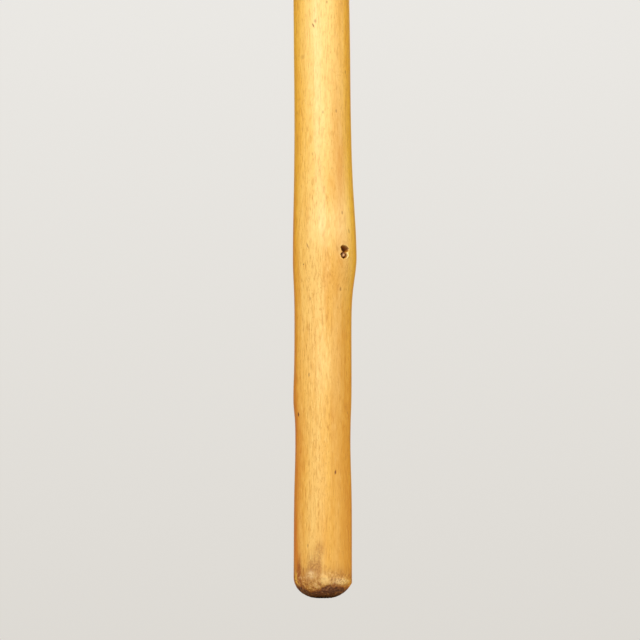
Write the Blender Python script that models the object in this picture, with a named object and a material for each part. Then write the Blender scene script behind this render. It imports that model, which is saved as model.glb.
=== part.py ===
"""Single point cane: a peeled branch on a bare, worn tip, with a crook handle studded to its top.

The cane stands on its tip. The origin is the centre of the tip's worn flat, +Z runs up the shaft,
and the crook bends in the XZ plane with its nose on the +X side. Lengths are in metres.

A direction round the shaft is given as its facing, in degrees: 0 looks towards -Y, the front,
and 90 towards +X.
"""

import math
from collections import namedtuple

import bmesh
import bpy
from mathutils import Matrix, Vector

MM = 0.001

# Driving dimensions
OVERALL_HEIGHT = 900 * MM
TIP_RADIUS = 12.6 * MM
TOP_RADIUS = 12.8 * MM
GRIP_RADIUS = 11.8 * MM
NOSE_RADIUS = 11.6 * MM
CROOK_REACH = 46 * MM  # half the distance between the centrelines of the leg and the nose
CROOK_RISE = 44 * MM  # from the start of the bend to the top of its centreline
LEG_LENGTH = 58 * MM  # straight part of the handle, under the bend
NOSE_LENGTH = 20 * MM
BEND_DEGREES = 186
GRIP_SHARE = 0.55  # how far along the handle the palm rests
PALM_WIDENING = 0.7 * MM
NOSE_DOME = 0.8  # length of the nose's dome, as a share of its radius
GAP = 0.3 * MM  # between pieces that touch on a real cane
SPACER_THICKNESS = 3 * MM
COLLAR_LENGTH = 24 * MM
COLLAR_WALL = 0.9 * MM
COLLAR_BEAD = 0.8 * MM  # radius of the bead rolled at each rim
STUD_LENGTH = 70 * MM

# Places that follow from them
BEND_START = OVERALL_HEIGHT - CROOK_RISE - GRIP_RADIUS
HANDLE_BOTTOM = BEND_START - LEG_LENGTH
SPACER_BOTTOM = HANDLE_BOTTOM - GAP - SPACER_THICKNESS
SHAFT_TOP = SPACER_BOTTOM - GAP
SEAT_BOTTOM = SHAFT_TOP - COLLAR_LENGTH
SEAT_RADIUS = TOP_RADIUS - COLLAR_WALL - GAP
JOINT_HEIGHT = SPACER_BOTTOM + SPACER_THICKNESS / 2

# Tip: a small worn flat with a rounded edge, worn higher and rounder on one side. On the other side
# the edge's sweep stops short of a quarter circle and meets the shaft at a corner.
TIP_FLAT_RADIUS = 2.4 * MM
TIP_WEAR = 7.4 * MM
TIP_WEAR_LEAN = 1.2 * MM
TIP_SWEEP = 74  # degrees
TIP_SWEEP_LEAN = 16
TIP_WEAR_FACING = -80
TIP_RINGS = 7

# The branch's own shape: slightly oval and slightly faceted, both turning slowly up the shaft
OVAL_DEPTH = 0.22 * MM
OVAL_TWIST = 9  # radians per metre
FACET_DEPTH = 0.10 * MM
FACET_TWIST = 14
SEAT_BLEND = 40 * MM  # over which the shaft turns round under the collar

# Knots: the swelling left where a side branch grew
Knot = namedtuple("Knot", "height facing rise girth above below")
OPEN_KNOT = Knot(149 * MM, 38, 2.8 * MM, 0.6 * MM, 34 * MM, 14 * MM)
FAINT_KNOT = Knot(84 * MM, -62, 0.5 * MM, 0.1 * MM, 12 * MM, 6 * MM)
WAIST = Knot(66 * MM, 0, 0, -0.5 * MM, 20 * MM, 18 * MM)
UPPER_KNOTS = 5
UPPER_KNOT_START = 318 * MM
UPPER_KNOT_SPACING = 94 * MM
LEAF_ANGLE = 137.5  # degrees round the stem from one branch to the next
KNOT_HALF_WIDTH = 50  # degrees

# Hole that the dead side branch left in the open knot, and the stub still in it
PIT_HALF_WIDTH = 2.1 * MM
PIT_HALF_LENGTH = 2.95 * MM
PIT_BELOW_KNOT = 0.55 * MM
PIT_DEPTH = 4.6 * MM
STUB_RADIUS = 1.1 * MM
STUB_BELOW_CENTRE = 1.5 * MM
STUB_TOP_DEPTH = 0.6 * MM
STUB_BOTTOM_DEPTH = 2.9 * MM

# The shaft is straight up to this height, and wanders a little above it
STRAIGHT_TO = 200 * MM
WANDER_X = -3.2 * MM
WANDER_Y = -2.4 * MM

# Stud: M8 threaded rod, glued into bores a little wider than it
STUD_RADIUS = 4 * MM
STUD_ROOT_RADIUS = 3.25 * MM
STUD_PITCH = 1.25 * MM
STUD_BORE_RADIUS = STUD_RADIUS + 0.4 * MM
STUD_END_ROOM = 1 * MM

# Collar pins
PIN_RADIUS = 0.6 * MM
PIN_HEAD_RADIUS = 1.4 * MM
PIN_HEAD_HEIGHT = 0.7 * MM
PIN_LENGTH = 6 * MM
PIN_HOLE_RADIUS = PIN_RADIUS + GAP
PIN_HEIGHT = SEAT_BOTTOM + 0.42 * COLLAR_LENGTH

BRASS_COLOUR = (0.62, 0.42, 0.16)

# Faceting
SHAFT_SIDES = 32
HANDLE_SIDES = 28
TURNED_STEPS = 40
STUD_SIDES = 12
PIN_SIDES = 12
SHAFT_STEP = 17 * MM
KNOT_STEP = 5.5 * MM
KNOT_ZONE = 25 * MM  # either side of a knot, where the rings close up
BORE_SIDES = 24
SMOOTH_BELOW = math.radians(35)
BEND_STEPS = 26
LEG_STEPS = 5
DOME_STEPS = 6


def clear_scene():
    for obj in list(bpy.data.objects):
        bpy.data.objects.remove(obj, do_unlink=True)


def principled(name, colour, roughness, metallic):
    material = bpy.data.materials.new(name)
    material.use_nodes = True
    shader = material.node_tree.nodes["Principled BSDF"]
    shader.inputs["Base Color"].default_value = (*colour, 1.0)
    shader.inputs["Roughness"].default_value = roughness
    shader.inputs["Metallic"].default_value = metallic
    material.diffuse_color = (*colour, 1.0)
    return material


def object_from(bm, name, material=None):
    """Puts a bmesh in the scene as an object with outward normals and smooth round faces."""
    bmesh.ops.recalc_face_normals(bm, faces=bm.faces)
    mesh = bpy.data.meshes.new(name)
    bm.to_mesh(mesh)
    bm.free()
    mesh.shade_smooth()
    mesh.set_sharp_from_angle(angle=SMOOTH_BELOW)
    obj = bpy.data.objects.new(name, mesh)
    bpy.context.scene.collection.objects.link(obj)
    if material:
        mesh.materials.append(material)
    return obj


def facing_direction(degrees):
    angle = math.radians(degrees)
    return Vector((math.sin(angle), -math.cos(angle), 0))


def facing_frame(degrees, point):
    """A frame at point whose Z looks outwards at that facing and whose Y is up the shaft."""
    outward = facing_direction(degrees)
    up = Vector((0, 0, 1))
    across = up.cross(outward)
    turn = Matrix((across, up, outward)).transposed().to_4x4()
    return Matrix.Translation(point) @ turn


def loft(rings):
    """A closed skin over a row of rings, each with the same number of points, capped at both ends."""
    bm = bmesh.new()
    loops = [[bm.verts.new(point) for point in ring] for ring in rings]
    sides = len(loops[0])
    for lower, upper in zip(loops, loops[1:]):
        for i in range(sides):
            j = (i + 1) % sides
            bm.faces.new((lower[i], lower[j], upper[j], upper[i]))
    bm.faces.new(reversed(loops[0]))
    bm.faces.new(loops[-1])
    return bm


def turned(outline, steps, closed=True):
    """A solid of revolution about Z, from (radius, height) points.

    A closed outline makes a ring, and an open one starts and ends on the axis.
    """
    bm = bmesh.new()
    corners = [bm.verts.new((radius, 0, height)) for radius, height in outline]
    following = corners[1:] + corners[:1] if closed else corners[1:]
    edges = [bm.edges.new((a, b)) for a, b in zip(corners, following)]
    bmesh.ops.spin(
        bm,
        geom=corners + edges,
        cent=(0, 0, 0),
        axis=(0, 0, 1),
        angle=math.tau,
        steps=steps,
        use_merge=True,
    )
    bmesh.ops.remove_doubles(bm, verts=bm.verts, dist=0.001 * MM)
    return bm


def arc(centre, radius, start, end, steps):
    """Points of (radius, height) along an arc, with its angles in degrees from the +radius direction."""
    points = []
    for i in range(steps + 1):
        angle = math.radians(start + (end - start) * i / steps)
        points.append((centre[0] + radius * math.cos(angle), centre[1] + radius * math.sin(angle)))
    return points


def cutter(bm, name):
    obj = object_from(bm, name)
    obj.hide_render = True
    obj.display_type = "WIRE"
    return obj


def round_cutter(name, radius, length, frame, sides):
    """A cylinder cutter centred on frame, with its length along the frame's Z."""
    bm = bmesh.new()
    bmesh.ops.create_cone(
        bm, cap_ends=True, segments=sides, radius1=radius, radius2=radius, depth=length, matrix=frame
    )
    return cutter(bm, name)


def cut(obj, tool):
    modifier = obj.modifiers.new(tool.name, "BOOLEAN")
    modifier.operation = "DIFFERENCE"
    modifier.object = tool


# --- The shaft -------------------------------------------------------------------------------------


def upper_knots():
    """Knots above the open one, each turned by the leaf angle from the one below."""
    knots = []
    for i in range(UPPER_KNOTS):
        height = UPPER_KNOT_START + UPPER_KNOT_SPACING * (i + 0.12 * math.sin(2.3 * i))
        facing = OPEN_KNOT.facing + LEAF_ANGLE * (i + 1)
        rise = (1.3 + 0.5 * math.sin(1.9 * i + 1)) * MM
        knots.append(Knot(height, facing, rise, 0.3 * MM, 24 * MM, 15 * MM))
    return knots


KNOTS = [FAINT_KNOT, OPEN_KNOT] + upper_knots()


def swell(knot, z, facing):
    """How far a knot lifts the surface at a height and facing."""
    reach = knot.above if z > knot.height else knot.below
    along = math.exp(-(((z - knot.height) / reach) ** 2))
    turn = (facing - knot.facing + 180) % 360 - 180
    around = math.exp(-0.5 * (turn / KNOT_HALF_WIDTH) ** 2)
    return along * (knot.girth + knot.rise * around)


def roundness(z):
    """1 along most of the shaft, and 0 at the collar's seat, where it is turned truly round."""
    return min(1.0, max(0.0, (SEAT_BOTTOM - z) / SEAT_BLEND))


def shaft_radius(z, facing):
    taper = TIP_RADIUS + (TOP_RADIUS - TIP_RADIUS) * z / SEAT_BOTTOM
    angle = math.radians(facing)
    oval = OVAL_DEPTH * math.cos(2 * angle + OVAL_TWIST * z)
    facet = FACET_DEPTH * math.cos(5 * angle - FACET_TWIST * z)
    bumps = sum(swell(knot, z, facing) for knot in KNOTS + [WAIST])
    return taper + roundness(z) * (oval + facet + bumps)


def shaft_centre(z):
    """Centre of the shaft at a height. The wander starts and ends with the shaft upright."""
    share = min(1.0, max(0.0, (z - STRAIGHT_TO) / (SEAT_BOTTOM - STRAIGHT_TO)))
    window = (4 * share * (1 - share)) ** 2
    sway = math.cos(1.5 * math.pi * share)
    return Vector((WANDER_X * window * sway, WANDER_Y * window, z))


def shaft_ring(z):
    facings = [360 * i / SHAFT_SIDES for i in range(SHAFT_SIDES)]
    return [shaft_centre(z) + facing_direction(f) * shaft_radius(z, f) for f in facings]


def tip_ring(share):
    """A ring of the worn edge, from the flat at share 0 to the full shaft at share 1."""
    ring = []
    for i in range(SHAFT_SIDES):
        facing = 360 * i / SHAFT_SIDES
        lean = math.cos(math.radians(facing - TIP_WEAR_FACING))
        wear = TIP_WEAR + TIP_WEAR_LEAN * lean
        sweep = math.radians(TIP_SWEEP + TIP_SWEEP_LEAN * lean)
        outward = math.sin(share * sweep) / math.sin(sweep)
        rise = (1 - math.cos(share * sweep)) / (1 - math.cos(sweep))
        radius = TIP_FLAT_RADIUS + (shaft_radius(wear, facing) - TIP_FLAT_RADIUS) * outward
        ring.append(facing_direction(facing) * radius + Vector((0, 0, wear * rise)))
    return ring


def shaft_heights():
    """Heights of the rings above the worn edge, closer together round the knots."""
    heights = []
    z = TIP_WEAR + TIP_WEAR_LEAN + 3 * MM
    while z < SEAT_BOTTOM - KNOT_STEP:
        heights.append(z)
        near = min(abs(z - knot.height) for knot in KNOTS)
        z += KNOT_STEP + (SHAFT_STEP - KNOT_STEP) * min(1.0, near / KNOT_ZONE)
    return heights + [SEAT_BOTTOM]


def seat_ring(z):
    facings = [360 * i / SHAFT_SIDES for i in range(SHAFT_SIDES)]
    return [Vector((0, 0, z)) + facing_direction(f) * SEAT_RADIUS for f in facings]


def pit_frame():
    """Frame on the shaft's surface at the middle of the open knot, looking outwards."""
    reach = shaft_radius(OPEN_KNOT.height, OPEN_KNOT.facing)
    point = shaft_centre(OPEN_KNOT.height) + facing_direction(OPEN_KNOT.facing) * reach
    return facing_frame(OPEN_KNOT.facing, point)


def pit_cutter():
    bm = bmesh.new()
    size = Matrix.Diagonal((PIT_HALF_WIDTH, PIT_HALF_LENGTH, PIT_DEPTH, 1))
    place = pit_frame() @ Matrix.Translation((0, -PIT_BELOW_KNOT, 0)) @ size
    bmesh.ops.create_uvsphere(bm, u_segments=16, v_segments=10, radius=1, matrix=place)
    return cutter(bm, "pit_cutter")


def stud_cutter():
    length = STUD_LENGTH + 2 * STUD_END_ROOM
    frame = Matrix.Translation((0, 0, JOINT_HEIGHT))
    return round_cutter("stud_cutter", STUD_BORE_RADIUS, length, frame, BORE_SIDES)


def build_shaft(stud_bore, pin_holes):
    rings = [tip_ring(i / TIP_RINGS) for i in range(TIP_RINGS + 1)]
    rings += [shaft_ring(z) for z in shaft_heights()]
    rings += [seat_ring(SEAT_BOTTOM), seat_ring(SHAFT_TOP)]
    peeled = principled("peeled_wood", (0.78, 0.52, 0.20), 0.4, 0.0)
    shaft = object_from(loft(rings), "shaft", peeled)
    cut(shaft, pit_cutter())
    cut(shaft, stud_bore)
    for hole in pin_holes:
        cut(shaft, hole)


def build_knot_stub():
    """The stub of the dead side branch, low in the knot's hole."""
    length = STUB_BOTTOM_DEPTH - STUB_TOP_DEPTH
    middle = -(STUB_BOTTOM_DEPTH + STUB_TOP_DEPTH) / 2
    place = pit_frame() @ Matrix.Translation((0, -STUB_BELOW_CENTRE, middle))
    bm = bmesh.new()
    bmesh.ops.create_cone(
        bm,
        cap_ends=True,
        segments=12,
        radius1=STUB_RADIUS * 0.8,
        radius2=STUB_RADIUS,
        depth=length,
        matrix=place,
    )
    object_from(bm, "knot_stub", principled("dead_wood", (0.32, 0.20, 0.10), 0.8, 0.0))


# --- The crook handle ------------------------------------------------------------------------------


def bend_point(degrees):
    """Point and travel direction on the bend's centreline, 0 degrees at its start."""
    angle = math.radians(degrees)
    point = Vector(
        (CROOK_REACH * (1 - math.cos(angle)), 0, BEND_START + CROOK_RISE * math.sin(angle))
    )
    travel = Vector((CROOK_REACH * math.sin(angle), 0, CROOK_RISE * math.cos(angle)))
    return point, travel.normalized()


def handle_stations():
    """(point, travel direction) along the handle, from its flat bottom to where the nose's dome starts."""
    stations = []
    for i in range(LEG_STEPS):
        height = HANDLE_BOTTOM + LEG_LENGTH * i / LEG_STEPS
        stations.append((Vector((0, 0, height)), Vector((0, 0, 1))))
    for i in range(BEND_STEPS + 1):
        stations.append(bend_point(BEND_DEGREES * i / BEND_STEPS))
    end, travel = stations[-1]
    stations.append((end + travel * NOSE_LENGTH / 2, travel))
    stations.append((end + travel * NOSE_LENGTH, travel))
    return stations


def ease(share):
    """Rises smoothly from 0 to 1 as share does."""
    share = min(1.0, max(0.0, share))
    return share * share * (3 - 2 * share)


def handle_section(share):
    """Half widths in the crook's plane and across it, from the joint at share 0 to the nose at 1."""
    slim = ease(share / GRIP_SHARE)
    flare = ease((share - GRIP_SHARE) / (1 - GRIP_SHARE))
    radius = TOP_RADIUS + (GRIP_RADIUS - TOP_RADIUS) * slim + (NOSE_RADIUS - GRIP_RADIUS) * flare
    palm = slim * (1 - flare)
    return radius, radius + PALM_WIDENING * palm


def handle_ring(point, travel, in_plane, across):
    """A ring square to the travel direction."""
    side = Vector((0, -1, 0))
    outer = side.cross(travel)
    ring = []
    for i in range(HANDLE_SIDES):
        angle = math.tau * i / HANDLE_SIDES
        ring.append(point + outer * in_plane * math.cos(angle) + side * across * math.sin(angle))
    return ring


def build_handle(stud_bore):
    stations = handle_stations()
    rings = []
    for i, (point, travel) in enumerate(stations):
        rings.append(handle_ring(point, travel, *handle_section(i / (len(stations) - 1))))
    end, travel = stations[-1]
    in_plane, across = handle_section(1)
    for i in range(1, DOME_STEPS):
        angle = i / DOME_STEPS * math.pi / 2
        shrink = math.cos(angle)
        centre = end + travel * in_plane * NOSE_DOME * math.sin(angle)
        rings.append(handle_ring(centre, travel, in_plane * shrink, across * shrink))
    polished = principled("handled_wood", (0.66, 0.38, 0.13), 0.35, 0.0)
    handle = object_from(loft(rings), "crook_handle", polished)
    cut(handle, stud_bore)


# --- The joint -------------------------------------------------------------------------------------


def build_spacer():
    """A horn washer between the shaft and the handle, with a rounded rim."""
    half = SPACER_THICKNESS / 2
    rim = TOP_RADIUS + 0.2 * MM
    outline = [(STUD_BORE_RADIUS, -half), (rim - half / 2, -half)]
    outline += arc((rim - half / 2, 0), half, -60, 60, 6)
    outline += [(rim - half / 2, half), (STUD_BORE_RADIUS, half)]
    bm = turned([(radius, JOINT_HEIGHT + height) for radius, height in outline], TURNED_STEPS)
    object_from(bm, "spacer", principled("horn", (0.03, 0.022, 0.018), 0.3, 0.0))


def build_collar(pin_holes):
    """A brass band round the shaft's seat, with a bead rolled at each rim."""
    inner = SEAT_RADIUS + GAP
    outer = inner + COLLAR_WALL
    bottom = SEAT_BOTTOM + GAP
    bead_centre = outer - COLLAR_BEAD / 4
    outline = [(inner, bottom)]
    outline += arc((bead_centre, bottom + COLLAR_BEAD), COLLAR_BEAD, -90, 60, 6)
    outline += arc((bead_centre, SHAFT_TOP - COLLAR_BEAD), COLLAR_BEAD, -60, 90, 6)
    outline += [(inner, SHAFT_TOP)]
    brass = principled("brass", BRASS_COLOUR, 0.35, 1.0)
    collar = object_from(turned(outline, TURNED_STEPS), "collar", brass)
    for hole in pin_holes:
        cut(collar, hole)


def build_stud():
    """A threaded rod as a true helix: one line of roots, one of crests, and a fan at each end."""
    turns = int(STUD_LENGTH / STUD_PITCH) - 1
    count = turns * STUD_SIDES
    bottom = JOINT_HEIGHT - STUD_LENGTH / 2
    bm = bmesh.new()

    def vertex(step, radius, lift):
        angle = math.tau * step / STUD_SIDES
        height = bottom + STUD_PITCH * (step / STUD_SIDES + lift)
        return bm.verts.new((radius * math.cos(angle), radius * math.sin(angle), height))

    roots = [vertex(step, STUD_ROOT_RADIUS, 0) for step in range(count + STUD_SIDES + 1)]
    crests = [vertex(step, STUD_RADIUS, 0.5) for step in range(count + 1)]
    for k in range(count):
        bm.faces.new((roots[k], roots[k + 1], crests[k + 1], crests[k]))
        upper = k + STUD_SIDES
        bm.faces.new((crests[k], crests[k + 1], roots[upper + 1], roots[upper]))
    lower_loop = roots[: STUD_SIDES + 1] + [crests[0]]
    upper_loop = roots[count:] + [crests[count]]
    for loop, lift in ((lower_loop, 0), (upper_loop, turns + 1)):
        centre = bm.verts.new((0, 0, bottom + STUD_PITCH * lift))
        for a, b in zip(loop, loop[1:] + loop[:1]):
            bm.faces.new((centre, a, b))
    object_from(bm, "joining_stud", principled("zinc_steel", (0.55, 0.56, 0.58), 0.4, 1.0))


def pin_frame(facing):
    """Frame on the collar's outer face, looking outwards."""
    reach = SEAT_RADIUS + GAP + COLLAR_WALL
    point = facing_direction(facing) * reach + Vector((0, 0, PIN_HEIGHT))
    return facing_frame(facing, point)


def pin_hole(name, facing):
    depth = PIN_LENGTH + 2 * GAP
    frame = pin_frame(facing) @ Matrix.Translation((0, 0, GAP * 4 - depth / 2))
    return round_cutter(name, PIN_HOLE_RADIUS, depth + GAP * 4, frame, PIN_SIDES)


def build_pin(name, facing):
    """A round-headed brass pin through the collar into the shaft."""
    point_height = -PIN_LENGTH + 2 * PIN_RADIUS
    outline = [(0, -PIN_LENGTH), (PIN_RADIUS, point_height), (PIN_RADIUS, GAP), (PIN_HEAD_RADIUS, GAP)]
    for degrees in (30, 60, 90):
        angle = math.radians(degrees)
        outline.append((PIN_HEAD_RADIUS * math.cos(angle), GAP + PIN_HEAD_HEIGHT * math.sin(angle)))
    bm = turned(outline, PIN_SIDES, closed=False)
    bm.transform(pin_frame(facing))
    object_from(bm, name, principled("pin_brass", BRASS_COLOUR, 0.35, 1.0))


def build_cane():
    clear_scene()
    facings = {"collar_pin_front": 0, "collar_pin_back": 180}
    pin_holes = [pin_hole(f"{name}_hole", facing) for name, facing in facings.items()]
    stud_bore = stud_cutter()
    build_shaft(stud_bore, pin_holes)
    build_knot_stub()
    build_handle(stud_bore)
    build_spacer()
    build_collar(pin_holes)
    build_stud()
    for name, facing in facings.items():
        build_pin(name, facing)


build_cane()
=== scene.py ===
"""Looks of the single point cane: a peeled, varnished branch with a crook handle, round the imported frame.

The shaft, crook, spacer, collar, pins and knot stub are rebuilt here at a finer surface than the CAD
solids, on the same formulas, but without the stud's bores in the shaft and the crook and without the
pins' holes. Only the CAD has those, so the stud and the pins' shanks overlap wood and brass here, out of
sight.

Lengths are in metres, and heights are measured from the tip. A facing is a direction round the shaft in
degrees: 0 looks towards -Y, the front, and 90 towards +X.
"""

import math
from collections import namedtuple

import bpy
import numpy as np
from mathutils import Matrix, Vector


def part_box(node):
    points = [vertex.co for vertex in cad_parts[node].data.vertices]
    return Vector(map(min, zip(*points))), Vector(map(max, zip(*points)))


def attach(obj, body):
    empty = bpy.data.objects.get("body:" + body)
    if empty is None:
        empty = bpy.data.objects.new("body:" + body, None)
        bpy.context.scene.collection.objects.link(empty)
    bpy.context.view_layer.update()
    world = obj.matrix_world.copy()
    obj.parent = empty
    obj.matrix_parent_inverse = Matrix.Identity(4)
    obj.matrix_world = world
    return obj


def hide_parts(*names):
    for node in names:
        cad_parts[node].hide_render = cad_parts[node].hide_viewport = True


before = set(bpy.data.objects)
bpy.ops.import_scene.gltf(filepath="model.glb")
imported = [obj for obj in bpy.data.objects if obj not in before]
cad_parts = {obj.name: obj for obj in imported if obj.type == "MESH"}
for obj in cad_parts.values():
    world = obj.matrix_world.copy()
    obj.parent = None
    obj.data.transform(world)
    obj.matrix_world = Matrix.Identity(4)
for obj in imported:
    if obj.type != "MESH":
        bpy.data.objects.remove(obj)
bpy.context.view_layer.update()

MM = 0.001
GAP = 0.3 * MM  # between pieces that touch on a real cane
BODY = "root"

# Places taken from the frame
SHAFT_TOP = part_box("shaft")[1].z
SEAT_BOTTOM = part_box("collar")[0].z - GAP
COLLAR_BOTTOM, COLLAR_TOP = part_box("collar")[0].z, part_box("collar")[1].z
SPACER_BOTTOM, SPACER_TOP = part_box("spacer")[0].z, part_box("spacer")[1].z
SPACER_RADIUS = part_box("spacer")[1].x
HANDLE_BOTTOM, HANDLE_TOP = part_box("crook_handle")[0].z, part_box("crook_handle")[1].z

# The shaft's shape, as in the CAD
TIP_RADIUS = 12.6 * MM
TOP_RADIUS = 12.8 * MM
OVAL_DEPTH = 0.22 * MM
OVAL_TWIST = 9  # radians per metre
FACET_DEPTH = 0.10 * MM
FACET_TWIST = 14
SEAT_BLEND = 40 * MM  # over which the shaft turns round under the collar
STRAIGHT_TO = 200 * MM  # above this height the shaft wanders a little
WANDER_X = -3.2 * MM
WANDER_Y = -2.4 * MM
COLLAR_WALL = 0.9 * MM
SEAT_RADIUS = TOP_RADIUS - COLLAR_WALL - GAP

# The knots, as in the CAD: the swelling left where a side branch grew
Knot = namedtuple("Knot", "height facing rise girth above below")
OPEN_KNOT = Knot(149 * MM, 38, 2.8 * MM, 0.6 * MM, 34 * MM, 14 * MM)
FAINT_KNOT = Knot(84 * MM, -62, 0.5 * MM, 0.1 * MM, 12 * MM, 6 * MM)
WAIST = Knot(66 * MM, 0, 0, -0.5 * MM, 20 * MM, 18 * MM)
UPPER_KNOTS = 5
UPPER_KNOT_START = 318 * MM
UPPER_KNOT_SPACING = 94 * MM
UPPER_KNOT_STAGGER = 0.12  # by which the spacing varies, as a share of it
UPPER_KNOT_RISE = 1.3 * MM
UPPER_KNOT_RISE_SPREAD = 0.5 * MM
UPPER_KNOT_GIRTH = 0.3 * MM
UPPER_KNOT_ABOVE = 24 * MM
UPPER_KNOT_BELOW = 15 * MM
LEAF_ANGLE = 137.5  # degrees round the stem from one branch to the next
KNOT_HALF_WIDTH = 50  # degrees

# The worn tip, as in the CAD, and the roughness of its end grain
TIP_FLAT_RADIUS = 2.4 * MM
TIP_WEAR = 7.4 * MM
TIP_WEAR_LEAN = 1.2 * MM
TIP_SWEEP = 74  # degrees
TIP_SWEEP_LEAN = 16
TIP_WEAR_FACING = -80
WORN_EDGE_FADE = 20 * MM  # above the worn edge, where the skin's rows become level
TIP_ROUGHNESS = 0.16 * MM
TIP_CHIPS = 0.35 * MM
STAIN_REACH = 10 * MM  # height above the worn edge that counts as one more unit of wear
DIRT_REACH = 0.78  # how far up the worn edge the dark dirt goes, as a share of the edge
RUBBED_FACING = -26  # where the dirt is rubbed away
RUBBED_HALF = 30
RUBBED_DEPTH = 0.30

# The hole in the open knot: a round cavity over a smaller one, which still holds the branch's stub
Lobe = namedtuple("Lobe", "across up half_width half_length")
PIT_LOBES = [
    Lobe(-0.1 * MM, 0.95 * MM, 2.1 * MM, 1.4 * MM),
    Lobe(-0.6 * MM, -2.3 * MM, 1.6 * MM, 1.2 * MM),
]
LOBE_BLEND = 2.5  # how sharply the two meet
PIT_MIDDLE = -0.55 * MM
PIT_DEPTH = 4.4 * MM
PIT_LIP = 0.42 * MM
PIT_LIP_SIDE = -35  # degrees from across the shaft, where the healed lip is thickest
PIT_LIP_HALF_TURN = 50
PIT_LIP_REACH, PIT_LIP_HALF = 1.30, 0.26  # where the lip is and how wide, as shares of the hole's size
STUB_RADIUS = 1.1 * MM
STUB_BELOW_CENTRE = 1.5 * MM
STUB_TOP_DEPTH = 0.6 * MM
STUB_BOTTOM_DEPTH = 2.9 * MM
STUB_DOME_START = 0.7  # how far up the stub its broken end begins, as a share of its length
STUB_DOME_LENGTH = 0.32
PITH_OFFSET = (0.40 * MM, 0.45 * MM, 0)  # from the stub's pale pith back to its axis

# A flat left by the knife down the front, right of centre, from the open knot to the tip, with painted
# shade on it
KNIFE_FLAT_FACING = 44
KNIFE_FLAT_HALF = 30
KNIFE_FLAT_DEPTH = 0.34 * MM
KNIFE_FLAT_TOP = 146 * MM
KNIFE_TOP_FADE = 35 * MM
KNIFE_TIP_FADE = 12 * MM
KNIFE_EDGE = 0.12  # width of the painted shade's crisp step at the flat's left edge, as a share of its half width
KNIFE_SHADE_FADE = 1.1  # width of the painted shade's soft fade to its right

# The crook, as in the CAD
CROOK_REACH = 46 * MM
CROOK_RISE = 44 * MM
GRIP_RADIUS = 11.8 * MM
NOSE_RADIUS = 11.6 * MM
NOSE_LENGTH = 20 * MM
NOSE_DOME = 0.8  # length of the nose's dome, as a share of its radius
NOSE_END_GRAIN = 0.6  # how strongly the dark end grain shows at the very end of the nose
BEND_DEGREES = 186
GRIP_SHARE = 0.55  # how far along the handle the palm rests
PALM_WIDENING = 0.7 * MM
PALM_MIDDLE = 150 * MM  # along the crook, where a palm has darkened it most
PALM_HALF_LENGTH = 55 * MM
BEND_START = HANDLE_TOP - CROOK_RISE - GRIP_RADIUS

# The spacer, collar and pins: the bore and the bead as in the CAD
SPACER_BORE_RADIUS = 4.4 * MM
COLLAR_BEAD = 0.8 * MM
COLLAR_GROOVE = 0.16 * MM
COLLAR_LINES = (3.0 * MM, 4.4 * MM)  # from each rim to its two engraved lines
COLLAR_PLAIN = (0.2, 0.8)  # shares of its height between which the band is plain
COLLAR_DENTS = 0.03 * MM
PIN_RADIUS = 0.6 * MM
PIN_SHANK = 4.8 * MM
PIN_POINT = 1.0 * MM
PIN_HEAD_EDGE = 0.12 * MM
PIN_HEAD_DOME = 0.58 * MM
PIN_HEAD_FOOT = 0.96  # radius of the head's foot, as a share of the head's
PIN_DOME_ANGLES = (20, 35, 50, 65, 78)  # degrees up the dome

# Surface density
SHAFT_COLUMNS = 166
SHAFT_ROWS = 500
TIP_RINGS = 34
FLAT_RINGS = 7
STUB_SIDES = 36
STUB_ROWS = 14
CROOK_SIDES = 84
LEG_STEPS = 40
BEND_STEPS = 130
NOSE_STEPS = 14
DOME_STEPS = 22
TURNED_SIDES = 112
SPACER_RIM_STEPS = 18
BEAD_STEPS = 12
COLLAR_PLAIN_ROWS = 13
PIN_SIDES = 28
SHARP_FROM = 40  # degrees between faces, from which an edge is shaded sharp

FAR = 9.0  # value of a skin attribute that is out of its feature's reach

# How the fibres part round a knot. Angles are in degrees.
PARTING_LENGTH = 9 * MM
PARTING_HALF_WIDTH = 34
PARTING_PUSH = 10
PARTING_SPLIT = 9  # over which the fibres turn from one side to the other
PARTING_FULL_RISE = 1.5 * MM  # height of a knot that parts them fully

# The few nicks and holes that stand out, set in round numbers. wide and long are half sizes in
# metres, lean is in degrees and strength goes from 0 to 1.
NICK_DEPTH = 2 * MM
Nick = namedtuple("Nick", "height facing wide long lean strength")
NICKS = [
    Nick(254 * MM, -19, 0.40 * MM, 1.6 * MM, -22, 0.80),
    Nick(256 * MM, -15, 0.9 * MM, 1.2 * MM, 0, 0.50),
    Nick(240 * MM, -44, 1.5 * MM, 1.4 * MM, 0, 0.30),
    Nick(151 * MM, -27, 0.40 * MM, 1.9 * MM, -20, 0.60),
    Nick(143 * MM, -36, 0.40 * MM, 0.5 * MM, 0, 0.80),
    Nick(77.5 * MM, -56, 0.60 * MM, 1.2 * MM, 0, 1.0),
    Nick(52 * MM, 26, 0.50 * MM, 1.2 * MM, 8, 1.0),
]
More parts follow.
